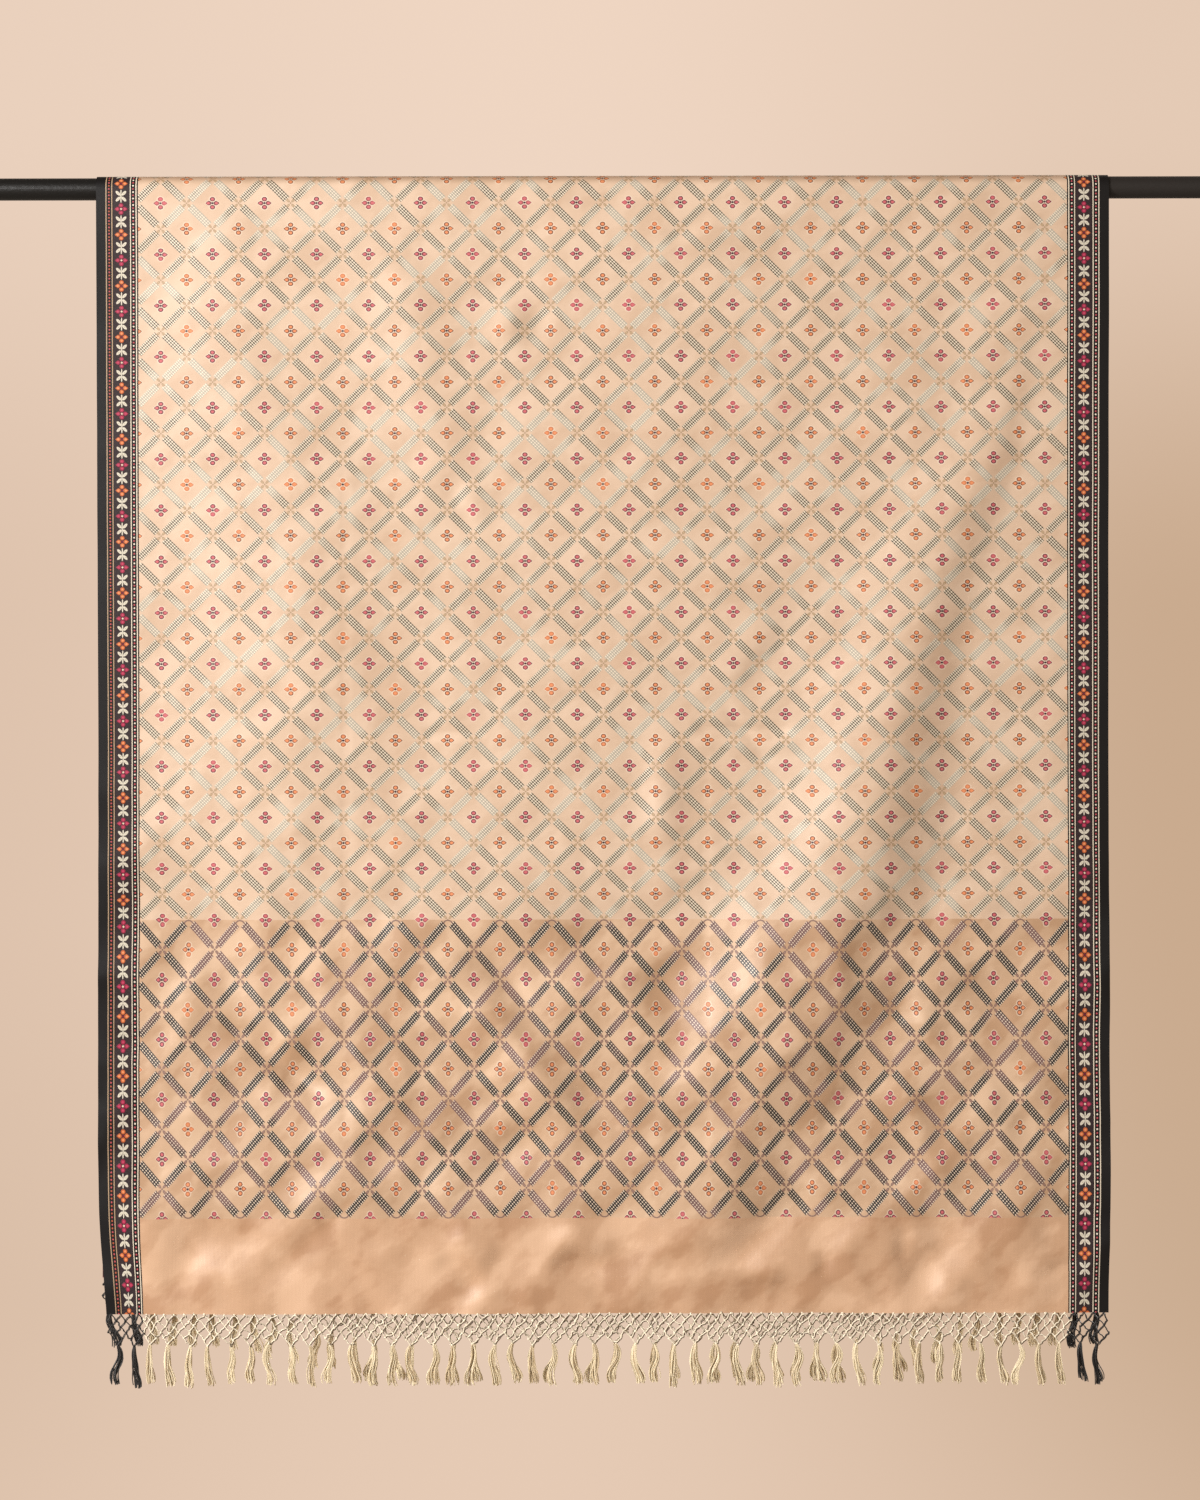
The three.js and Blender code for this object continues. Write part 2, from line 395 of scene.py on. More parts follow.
def mesh_piece(name, points, faces=(), materials=(), edges=()):
    """A piece made of points in millimetres, with its materials in order."""
    mesh = bpy.data.meshes.new(name)
    mesh.from_pydata((np.asarray(points).reshape(-1, 3) * MM).tolist(), edges, faces)
    for material in materials:
        mesh.materials.append(material)
    return new_object(name, mesh)


def made_plain(piece):
    """Turns what a piece's modifiers make into its own plain mesh."""
    evaluated = piece.evaluated_get(bpy.context.evaluated_depsgraph_get())
    plain = bpy.data.meshes.new_from_object(evaluated)
    piece.modifiers.clear()
    piece.data = plain
    plain.name = piece.name
    return piece


def sheet_piece(name, grid, weave, materials):
    """A thin shell of cloth on a grid of points, with its place in the weave as its UV map."""
    rows, columns = grid.shape[:2]
    faces = []
    for r in range(rows - 1):
        for c in range(columns - 1):
            a = r * columns + c
            faces.append((a, a + columns, a + columns + 1, a + 1))
    piece = mesh_piece(name, grid, faces, materials)
    mesh = piece.data
    flat = (weave.reshape(-1, 2) * MM).astype(np.float32)
    corners = np.zeros(len(mesh.loops), np.int32)
    mesh.loops.foreach_get("vertex_index", corners)
    mesh.uv_layers.new(name="weave").data.foreach_set("uv", flat[corners].ravel())
    mesh.polygons.foreach_set("use_smooth", [True] * len(mesh.polygons))
    shell = piece.modifiers.new("cloth", "SOLIDIFY")
    shell.thickness = CLOTH_THICKNESS * MM
    shell.offset = -1
    shell.use_even_offset = True
    shell.material_offset = 1
    made_plain(piece)
    piece.data.set_sharp_from_angle(angle=math.radians(60))
    return piece


def steps(start, end, cell):
    count = max(int(round(abs(end - start) / cell)), 1)
    return np.linspace(start, end, count + 1)


# ---------------- material helpers

def find_socket(sockets, label):
    """The socket in use that has this name or this identifier."""
    for socket in sockets:
        if socket.enabled and (socket.name == label.replace("_", " ") or socket.identifier == label):
            return socket
    raise KeyError(f"{label} in {[s.name for s in sockets]}")


def plug(tree, value, socket):
    """Feeds a socket from a reading or another node's socket, or with a plain value."""
    value = value.socket if isinstance(value, Reading) else value
    if isinstance(value, bpy.types.NodeSocket):
        tree.links.new(value, socket)
    else:
        socket.default_value = value


def add_node(tree, kind, settings=None, **inputs):
    """A node with its settings, and its inputs by name."""
    node = tree.nodes.new(kind)
    for key, value in (settings or {}).items():
        setattr(node, key, value)
    for label, value in inputs.items():
        plug(tree, value, find_socket(node.inputs, label))
    return node


def split_up(tree, vector):
    """A vector's X, Y and Z, each as a reading."""
    node = add_node(tree, "ShaderNodeSeparateXYZ", Vector=vector)
    return [Reading(tree, socket) for socket in node.outputs]


def arithmetic(operation):
    """A method of a reading that does one kind of sum."""
    return lambda self, *others: self.math(operation, *others)


class Reading:
    """A number at each point of a surface or a line, worked out with plain arithmetic."""

    def __init__(self, tree, socket):
        self.tree = tree
        self.socket = socket

    def math(self, operation, *others):
        node = add_node(self.tree, "ShaderNodeMath", {"operation": operation})
        for socket, value in zip(node.inputs, (self, *others)):
            plug(self.tree, value, socket)
        return Reading(self.tree, node.outputs[0])

    __add__ = __radd__ = arithmetic("ADD")
    __sub__ = arithmetic("SUBTRACT")
    __mul__ = __rmul__ = arithmetic("MULTIPLY")
    __truediv__ = arithmetic("DIVIDE")
    __abs__ = arithmetic("ABSOLUTE")
    floor = arithmetic("FLOOR")
    part = arithmetic("FRACT")
    larger = arithmetic("MAXIMUM")
    smaller = arithmetic("MINIMUM")

    def __rsub__(self, other):
        return (self * -1) + other

    def wave(self):
        """A cosine wave, one for each whole number."""
        return (self * (2 * math.pi)).math("COSINE")

    def length(self, other):
        """The distance of a point, from this number across and the other up."""
        return (self * self + other * other).math("SQRT")

    def rises(self, start, end):
        """0 up to start, 1 past end, and smooth between, whichever is the larger."""
        node = add_node(
            self.tree, "ShaderNodeMapRange", {"interpolation_type": "SMOOTHSTEP"}, Value=self,
            From_Min=min(start, end), From_Max=max(start, end),
            To_Min=float(start > end), To_Max=float(start < end),
        )
        return Reading(self.tree, node.outputs["Result"])

    def inside(self, edge, soft=0.25):
        """1 below the edge and 0 above it."""
        return self.rises(edge + soft, edge - soft)

    def between(self, start, end, soft=0.15):
        """1 from start to end and 0 outside them."""
        return self.rises(start - soft, start + soft) * self.inside(end, soft)


def srgb(red, green, blue):
    """A colour as a screen shows it, in the linear light that shaders take."""
    def linear(c):
        return c / 12.92 if c <= 0.04045 else ((c + 0.055) / 1.055) ** 2.4
    return (linear(red), linear(green), linear(blue), 1.0)


class Finish:
    """A material being built: its surface shader, its weave coordinates and its colour."""

    def __init__(self, name, roughness, specular=0.5, sheen=0.0, ior=1.5):
        self.material = bpy.data.materials.new(name)
        self.material.use_nodes = True
        self.tree = self.material.node_tree
        self.shader = self.tree.nodes["Principled BSDF"]
        values = {
            "Roughness": roughness, "Specular IOR Level": specular, "IOR": ior,
            "Sheen Weight": sheen, "Sheen Roughness": 0.4,
        }
        for label, value in values.items():
            self.shader.inputs[label].default_value = value

    def weave(self):
        """Millimetres across the cloth and along its pattern."""
        spot = add_node(self.tree, "ShaderNodeUVMap", {"uv_map": "weave"}).outputs["UV"]
        return [value * (1 / MM) for value in split_up(self.tree, spot)[:2]]

    def place(self):
        """Millimetres in the frame's own X, Y and Z."""
        spot = add_node(self.tree, "ShaderNodeTexCoord").outputs["Object"]
        return [value * (1 / MM) for value in split_up(self.tree, spot)]

    def grain(self, across, along, size_across, size_along, detail=2.0):
        """Noise from 0 to 1, with one size across and another along."""
        spot = add_node(
            self.tree, "ShaderNodeCombineXYZ", X=across / size_across, Y=along / size_along
        )
        node = add_node(
            self.tree, "ShaderNodeTexNoise", Scale=1.0, Detail=detail, Vector=spot.outputs[0]
        )
        return Reading(self.tree, node.outputs["Fac"])

    def attribute(self, name):
        node = add_node(self.tree, "ShaderNodeAttribute", {"attribute_name": name})
        return Reading(self.tree, node.outputs["Fac"])

    def over(self, below, value, amount):
        """A colour laid over another one, by an amount from 0 to 1."""
        settings = {"data_type": "RGBA"}
        mix = add_node(self.tree, "ShaderNodeMix", settings, Factor=amount, A=below, B=value)
        return find_socket(mix.outputs, "Result")

    def give(self, socket_name, value):
        plug(self.tree, value, self.shader.inputs[socket_name])

    def relief(self, height, strength=0.6):
        """Bump from a height in millimetres."""
        bump = add_node(
            self.tree, "ShaderNodeBump", Strength=strength, Distance=MM, Height=height
        )
        self.give("Normal", bump.outputs[0])


# ---------------- the finishes

SATIN_IOR = 1.6
GROUND = {
    "field": srgb(0.792, 0.68, 0.578),
    "pallu": srgb(0.75, 0.615, 0.49),
    "end_band": srgb(0.76, 0.60, 0.465),
}
ORANGE = {"petal": srgb(0.85, 0.52, 0.33), "rim": srgb(0.45, 0.24, 0.13)}
PINK = {"petal": srgb(0.76, 0.36, 0.38), "rim": srgb(0.37, 0.11, 0.17)}
PLUM = srgb(0.16, 0.06, 0.13)
PALE_THREAD = srgb(0.90, 0.85, 0.77)
PETAL_CENTRE = 3.9
GROUND_FLOWER = (2.45, 3.85, 2.05, 3.7, 2.7, 2.15, 0.5)
CHAIN_FLOWER = (2.3, 3.55, 2.15, 3.8, 2.6, 2.2, 0.55)

# The border, in from its outer edge: its white lines, the panel of its chain, and the
# middle of the chain, with a row of beads on either side.
BORDER_LINES = [(9.6, 10.6), (15.4, 16.4), (33.9, 34.8), (39.6, 40.7)]
CHAIN_PANEL = (17.2, 33.2)
CHAIN_MIDDLE = 25.1
CHAIN_TO_BEADS = 12.1
CHAIN_SHIFT = 0.11
BLOOMS_IN_REPEAT = 4
BEADS_IN_REPEAT = 16


def satin_ground(finish, across, along, colour, painted_patch_amount=0.3):
    """The satin's own colour, with slubs, painted sheen and shade in slanting patches, and its fine
    relief.
    """
    slub = finish.grain(across, along, 9.0, 0.7)
    cloud = finish.grain(across, along, 34.0, 26.0, detail=3.0)
    slant = finish.grain(across + along * 0.7, along - across * 0.7, 84.0, 44.0, detail=4.0)
    lighter = tuple(min(c * 1.12, 1.0) for c in colour[:3]) + (1.0,)
    darker = tuple(c * 0.84 for c in colour[:3]) + (1.0,)
    ground = finish.over(colour, lighter, slub.rises(0.5, 0.75) * 0.5)
    ground = finish.over(ground, darker, cloud.rises(0.5, 0.8) * 0.35)
    # Painted sheen and shade: slanting patches go paler and deeper, standing in for the light on
    # crushed satin.
    painted_sheen_colour = (colour[0] * 1.22, colour[1] * 1.30, colour[2] * 1.40, 1.0)
    painted_shade_colour = (colour[0] * 0.78, colour[1] * 0.69, colour[2] * 0.60, 1.0)
    ground = finish.over(ground, painted_sheen_colour, slant.rises(0.5, 0.62) * painted_patch_amount)
    ground = finish.over(ground, painted_shade_colour, slant.rises(0.49, 0.37) * painted_patch_amount)
    crumple = finish.grain(across, along, 15.0, 19.0, detail=1.0) * 0.5
    return ground, crumple


def flower(dx, dy, wide, centre, tall, tip, length, thick, taper):
    """A four-petalled flower, as how far out of it a place is: 1 at its petals' edges.
    The upright petals are wide and tall about a centre, and the others taper past tip."""
    beside = abs(dx)
    upright = (dx / wide).length((abs(dy) - centre) / tall)
    thickness = thick - (beside - tip).larger(0.0) * taper
    sideways = ((beside - PETAL_CENTRE) / length).length(dy / thickness)
    return upright.smaller(sideways)


def lattice(finish, dark_bars):
    """The woven ground: bars on the sides of diamond cells, a rosette where they cross
    and a flower in each cell, in turn pink and orange. dark_bars is for the pallu."""
    across, along = finish.weave()
    zone, painted_patch_amount = ("pallu", 0.75) if dark_bars else ("field", 0.3)
    ground, relief = satin_ground(finish, across, along, GROUND[zone], painted_patch_amount)
    p = across / REPEAT_ACROSS
    q = along / REPEAT_ALONG
    s = p + q
    t = p - q
    cell_s, cell_t = s.floor(), t.floor()
    ds = s - cell_s - 0.5
    dt = t - cell_t - 0.5
    is_orange = ((cell_s + cell_t) / 2).part().rises(0.2, 0.3)
    dx = (ds + dt) * (REPEAT_ACROSS / 2) * (1.05 if dark_bars else 0.95)
    dy = (ds - dt) * (REPEAT_ALONG / 2) * 0.96
    side = math.hypot(REPEAT_ACROSS, REPEAT_ALONG) / 2

    # Bars: how far a place is from the line of each bar, and from its ends.
    off_s = (0.5 - abs(ds)) * side
    off_t = (0.5 - abs(dt)) * side
    end_gap = 5.0
    half_bar = 3.6 if dark_bars else 3.85
    bar_s = off_s.inside(half_bar, 0.15) * off_t.rises(end_gap - 0.3, end_gap + 0.3)
    bar_t = off_t.inside(half_bar, 0.15) * off_s.rises(end_gap - 0.3, end_gap + 0.3)
    bar = bar_s.larger(bar_t)
    net = (s * 17).wave() * 0.58 + (t * 13).wave() * 0.42

    # Rosettes where the bars cross.
    rs = s - (s + 0.5).floor()
    rt = t - (t + 0.5).floor()
    cx = (rs + rt) * (REPEAT_ACROSS / 2)
    cy = (rs - rt) * (REPEAT_ALONG / 2)
    out = (abs(cx) + abs(cy)) * math.sqrt(0.5) - 3.4
    aside = (abs(cx) - abs(cy)) * math.sqrt(0.5)
    leaf = (out / 2.1).length(aside / 1.25)
    rosette = leaf.inside(1.0, 0.2)
    leaf_heart = leaf.inside(0.5, 0.2)
    heart = cx.length(cy).inside(0.9, 0.3)

    # Painted reflection: in noise patches the bar threads take a glint colour, mauve in the pallu
    # and pale silver in the field, for light off the metal thread.
    painted_glint_patches = finish.grain(across, along, 60.0, 55.0, detail=1.0)
    if dark_bars:
        at_ends = q.rises(4.75, 4.8).larger(q.inside(0.22, 0.02))
        arch = (cx / 4.6).length((abs(cy) - 3.4) / 3.1)
        arch = arch.between(0.72, 1.08, 0.1) * abs(cy).inside(3.2, 0.2)
        rosette = rosette * (1 - at_ends)
        leaf_heart = leaf_heart * (1 - at_ends)
        mark = rosette.larger(arch * at_ends).larger(heart * (1 - at_ends))
        bar_base, bar_net = srgb(0.84, 0.76, 0.67), srgb(0.075, 0.05, 0.055)
        thread = net.inside(0.34, 0.24)
        mark_colour, mark_heart = srgb(0.42, 0.29, 0.26), srgb(0.60, 0.46, 0.40)
        glint = srgb(0.50, 0.36, 0.35)
    else:
        mark = rosette.larger(heart)
        bar_base, bar_net = srgb(0.87, 0.81, 0.72), srgb(0.31, 0.27, 0.21)
        thread = net.inside(0.06, 0.34)
        mark_colour, mark_heart = srgb(0.58, 0.47, 0.34), srgb(0.74, 0.64, 0.50)
        glint = srgb(0.72, 0.69, 0.63)
    colour = finish.over(ground, PALE_THREAD, bar.larger(mark) * 0.25)
    bar_mix = finish.over(bar_base, bar_net, thread)
    bar_mix = finish.over(bar_mix, glint, painted_glint_patches.rises(0.47, 0.62) * thread * 0.75)
    colour = finish.over(colour, bar_mix, bar)
    colour = finish.over(colour, mark_colour, mark * (0.9 if dark_bars else 0.85))
    colour = finish.over(colour, mark_heart, leaf_heart * 0.7)

    # Flowers.
    out_of_flower = flower(dx, dy, *GROUND_FLOWER)
    petal = out_of_flower.inside(0.6, 0.14)
    rim = out_of_flower.inside(1.04, 0.12)
    halo = out_of_flower.inside(1.42, 0.22)
    eye = dx.length(dy)
    petal_colour = finish.over(PINK["petal"], ORANGE["petal"], is_orange)
    rim_colour = finish.over(PINK["rim"], ORANGE["rim"], is_orange)
    # Painted highlight: in patches the flower rims take the petals' colour, as where light catches
    # their shiny floats.
    painted_rim_sheen = finish.grain(across, along, 48.0, 40.0, detail=1.0).rises(0.5, 0.66)
    rim_colour = finish.over(rim_colour, petal_colour, painted_rim_sheen * 0.6)
    colour = finish.over(colour, PALE_THREAD, halo * 0.45)
    colour = finish.over(colour, rim_colour, rim)
    colour = finish.over(colour, petal_colour, petal)
    colour = finish.over(colour, PLUM, eye.inside(1.05, 0.3))

    threads_on_top = bar.larger(mark).larger(rim)
    # Painted shade: the cloth turning over the top of the rod is darker where it faces up.
    height = finish.place()[2]
    colour = finish.over(colour, srgb(0.50, 0.36, 0.25), height.rises(1.0, 12.0) * 0.5)
    finish.give("Base Color", colour)
    finish.give("Metallic", bar * 0.06)
    finish.give("Roughness", 0.52 - bar * 0.06 + rim * 0.06)
    finish.relief(relief + threads_on_top * 0.08)
    return finish.material


def plain_band():
    finish = Finish("plain_satin", 0.48, specular=0.8, ior=SATIN_IOR)
    across, along = finish.weave()
    ground, relief = satin_ground(finish, across, along, GROUND["end_band"], 0.85)
    rib = (across / 1.35).wave() * 0.02
    fleck = finish.grain(across, along, 1.6, 1.0).rises(0.7, 0.76)
    patches = finish.grain(across, along, 40.0, 22.0, detail=1.0).rises(0.48, 0.62)
    ground = finish.over(ground, srgb(0.97, 0.90, 0.80), fleck * patches * 0.7)
    finish.give("Base Color", ground)
    finish.relief(relief + rib)
    return finish.material


def border_finish():
    """The black border: white lines, two rows of beads and a chain of flowers."""
    finish = Finish("flowered_border", 0.6, specular=0.25)
    across, along = finish.weave()
    edge = HALF_WIDTH - abs(across)

    rib = (edge / 1.05).wave().rises(-0.6, 0.9)
    fleck = finish.grain(across, along, 0.9, 0.9)
    panel = edge.between(*CHAIN_PANEL, 0.2)
    colour = finish.over(srgb(0.035, 0.03, 0.03), srgb(0.085, 0.07, 0.068), rib)
    panel_colour = finish.over(
        srgb(0.15, 0.10, 0.11), srgb(0.22, 0.175, 0.18), fleck.rises(0.45, 0.62)
    )
    colour = finish.over(colour, panel_colour, panel)

    worn_side = across.inside(0.0) * edge.inside(20.0)
    white = finish.over(srgb(0.84, 0.79, 0.71), srgb(0.66, 0.56, 0.45), worn_side)
    line = edge.between(*BORDER_LINES[0])
    for start, end in BORDER_LINES[1:]:
        line = line.larger(edge.between(start, end))
    colour = finish.over(colour, white, line)

    bead_pitch = REPEAT_ALONG / BEADS_IN_REPEAT
    bead_step = along / bead_pitch
    bead_dy = (bead_step.part() - 0.5) * bead_pitch
    bead_dx = abs(abs(edge - CHAIN_MIDDLE) - CHAIN_TO_BEADS)
    bead_out = bead_dx.length(bead_dy)
    bead = bead_out.inside(0.85, 0.2)
    is_pale = (bead_step.floor() / 2).part().rises(0.2, 0.3)
    pale_bead = finish.over(srgb(0.88, 0.83, 0.76), srgb(0.66, 0.33, 0.22), worn_side)
    bead_colour = finish.over(srgb(0.70, 0.30, 0.33), pale_bead, is_pale)
    colour = finish.over(colour, bead_colour, bead)

    # The chain: pink, white, orange, white in each repeat.
    quarter = (along / REPEAT_ALONG + CHAIN_SHIFT) * BLOOMS_IN_REPEAT + 0.5
    dy = (quarter.part() - 0.5) * (REPEAT_ALONG / BLOOMS_IN_REPEAT)
    dx = edge - CHAIN_MIDDLE
    which = (quarter.floor() / BLOOMS_IN_REPEAT).part()
    is_cross = (quarter.floor() / 2).part().rises(0.2, 0.3)
    is_orange = which.between(0.4, 0.6, 0.02)
    beside = abs(dx)
    out_of_flower = flower(dx, dy, *CHAIN_FLOWER)
    bloom = out_of_flower.inside(1.0, 0.12) * (1 - is_cross)
    bloom_heart = out_of_flower.inside(0.5, 0.2) * (1 - is_cross)
    rim = finish.over(srgb(0.56, 0.14, 0.25), srgb(0.70, 0.36, 0.20), is_orange)
    heart = finish.over(srgb(0.70, 0.25, 0.35), srgb(0.85, 0.54, 0.36), is_orange)
    colour = finish.over(colour, rim, bloom)
    colour = finish.over(colour, heart, bloom_heart)
    eye = beside.length(dy).inside(0.95, 0.25) * (1 - is_cross)
    eye_colour = finish.over(srgb(0.84, 0.74, 0.66), srgb(0.42, 0.08, 0.20), is_orange)
    colour = finish.over(colour, eye_colour, eye)

    out = (beside + abs(dy)) * math.sqrt(0.5) - 4.15
    leaf = (out / 3.0).length((beside - abs(dy)) * (math.sqrt(0.5) / 1.4))
    stem = (dx / 0.62).length((abs(dy) - 4.2) / 2.3).smaller(beside + 0.45 + abs(dy) / 30)
    cross = leaf.smaller(stem).inside(1.0, 0.15) * is_cross
    vein = leaf.inside(0.35, 0.2) * is_cross
    colour = finish.over(colour, srgb(0.80, 0.77, 0.70), cross)
    colour = finish.over(colour, srgb(0.56, 0.53, 0.47), vein * 0.6)

    raised = line.larger(bead).larger(bloom).larger(cross)
    finish.give("Base Color", colour)
    finish.give("Roughness", 0.52 - raised * 0.12)
    finish.relief(raised * 0.16 + rib * 0.05 + fleck * 0.06)
    return finish.material


def wrong_side(name, colour, float_colours):
    """The back of the weave: the ground with loose floats of the pattern threads."""
    finish = Finish(name, 0.55, specular=0.4, sheen=0.1)
    across, along = finish.weave()
    ground, relief = satin_ground(finish, across, along, colour)
    pick = (along / (REPEAT_ALONG / 2)).part()
    for k, (start, float_colour) in enumerate(float_colours):
        run = finish.grain(across + 40.0 * k, along, 26.0, 0.9).rises(0.5, 0.6)
        ground = finish.over(ground, float_colour, pick.between(start, start + 0.26, 0.02) * run)
    finish.give("Base Color", ground)
    finish.relief(relief)
    return finish.material


def yarn(name, light, dark, painted_ply_shade):
    """Twisted silk yarn: strands from dark to light, with painted shade in dark gaps where plies
    turn.
    """
    finish = Finish(name, 0.5, specular=0.5, sheen=0.2)
    x, y, z = finish.place()
    shade = finish.attribute("shade")
    streak = finish.grain(x, z, 0.9, 14.0)
    turn = finish.grain(x, z, 1.6, 1.1)
    mix = finish.over(dark, light, (shade + streak * 0.5 - 0.25).rises(0.0, 1.0))
    # Painted shade: dark patches along the yarn, as in the gaps between its plies.
    mix = finish.over(mix, tuple(c * 0.3 for c in dark[:3]) + (1.0,), turn.rises(0.5, 0.62) * painted_ply_shade)
    finish.give("Base Color", mix)
    finish.relief(streak * 0.1)
    return finish.material


def rod_finish():
    """A black coated tube, its film smooth at the left and dull at the right."""
    finish = Finish("black_coated_tube", 0.4, specular=0.4)
    x, y, z = finish.place()
    wrinkle = finish.grain(x, z, 5.5, 2.6, detail=3.0)
    speck = finish.grain(x, z, 1.2, 1.2)
    dull = x.rises(-200.0, 200.0)
    colour = finish.over(srgb(0.07, 0.065, 0.06), srgb(0.12, 0.10, 0.085), dull)
    colour = finish.over(colour, srgb(0.16, 0.14, 0.125), speck.rises(0.55, 0.75) * 0.5)
    finish.give("Base Color", colour)
    finish.give("Roughness", 0.34 + dull * 0.28 + speck * 0.08)
    finish.relief(wrinkle * 0.5 + speck * 0.05, strength=0.45)
    return finish.material


FINISHES = {
    "field": lattice(Finish("satin_field", 0.52, specular=0.5, ior=SATIN_IOR), dark_bars=False),
    "pallu": lattice(Finish("satin_pallu", 0.5, specular=0.6, ior=SATIN_IOR), dark_bars=True),
    "end_band": plain_band(),
    "border": border_finish(),
}
WRONG_SIDE = wrong_side(
    "wrong_side",
    srgb(0.70, 0.56, 0.44),
    [(0.05, srgb(0.72, 0.35, 0.38)), (0.55, srgb(0.80, 0.50, 0.30))],
)
BORDER_WRONG_SIDE = wrong_side(
    "border_wrong_side",
    srgb(0.30, 0.16, 0.17),
    [(0.02, srgb(0.76, 0.36, 0.40)), (0.30, srgb(0.85, 0.68, 0.30)), (0.6, srgb(0.74, 0.34, 0.38))],
)
CREAM_YARN = yarn("cream_yarn", srgb(0.92, 0.86, 0.73), srgb(0.60, 0.47, 0.30), 0.06)
CREAM_CORD = yarn("cream_cord", srgb(0.95, 0.90, 0.80), srgb(0.34, 0.25, 0.16), 0.25)
BLACK_YARN = yarn("black_yarn", srgb(0.11, 0.095, 0.09), srgb(0.03, 0.025, 0.025), 0.1)


# ---------------- the cloth

def declare(piece, node):
    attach(piece, "root")
    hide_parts(node)


def declare_cloth(piece, node):
    """Declares a stretch of cloth like any other piece."""
    declare(piece, node)


SIDES = {
    "field": (-FIELD_HALF, FIELD_HALF),
    "left": (-HALF_WIDTH, -FIELD_HALF),
    "right": (FIELD_HALF, HALF_WIDTH),
}


def hanging_sheet(name, layer, side, top, bottom, materials):
    """A stretch of a hanging layer between two lines, each a height above the hem or,
    for None, the level of the rod's axis."""
    across_steps = steps(*side, CELL)
    middle_hem = float(layer["hem"](np.zeros(1))[0])
    height = (middle_hem if top is None else top) - bottom
    shares = np.linspace(0, 1, max(int(round(height / CELL)), 1) + 1)
    share, across = np.meshgrid(shares, across_steps, indexing="ij")
    hem = layer["hem"](across)
    top_drop = np.zeros_like(hem) if top is None else hem - top
    drop = top_drop + (hem - bottom - top_drop) * share
    grid = layer_points(layer, across, drop)
    weave = np.stack([across, repeats_up(layer, across, drop) * REPEAT_ALONG], axis=-1)
    if layer["facing"] > 0:
        grid, weave = grid[:, ::-1], weave[:, ::-1]
    return sheet_piece(name, grid, weave, materials)


def over_rod_sheet(name, side, materials):
    """The half turn of cloth over the rod, from the front to the back."""
    angles = np.linspace(math.pi, 0, TURN_CELLS + 1)
    angle, across = np.meshgrid(angles, steps(*side, CELL), indexing="ij")
    y = CLOTH_RADIUS * -np.cos(angle)
    z = CLOTH_RADIUS * np.sin(angle)
    turned = FIELD_TOP_REPEATS + angle / math.pi * TURN_REPEATS
    grid = np.stack([across, y, z], axis=-1)
    return sheet_piece(name, grid, np.stack([across, turned * REPEAT_ALONG], axis=-1), materials)


def make_over_rod():
    field = over_rod_sheet("cloth_over_rod", SIDES["field"], [FINISHES["field"], WRONG_SIDE])
    declare_cloth(field, "field_over_rod")
    for side in ("left", "right"):
        border = over_rod_sheet(
            f"over_rod_border_{side}", SIDES[side], [FINISHES["border"], BORDER_WRONG_SIDE]
        )
        declare_cloth(border, f"border_over_rod_{side}")


def make_layer(name, layer):
    """One hanging layer: field, pallu, end band and two borders."""
    pallu_top = BAND_HEIGHT + PALLU_HEIGHT
    stretches = [
        ("field", "field", None, pallu_top),
        ("pallu", "field", pallu_top, BAND_HEIGHT),
        ("end_band", "field", BAND_HEIGHT, 0.0),
        ("border", "left", None, 0.0),
        ("border", "right", None, 0.0),
    ]
    middle_hem = float(layer["hem"](np.zeros(1))[0])
    for zone, side, top, bottom in stretches:
        in_field = side == "field"
        place = name if in_field else f"{name}_{side}"
        materials = [FINISHES[zone], WRONG_SIDE if in_field else BORDER_WRONG_SIDE]
        sheet = hanging_sheet(f"cloth_{zone}_{place}", layer, SIDES[side], top, bottom, materials)
        declare_cloth(sheet, f"{zone}_{place}")


# ---------------- the fringe

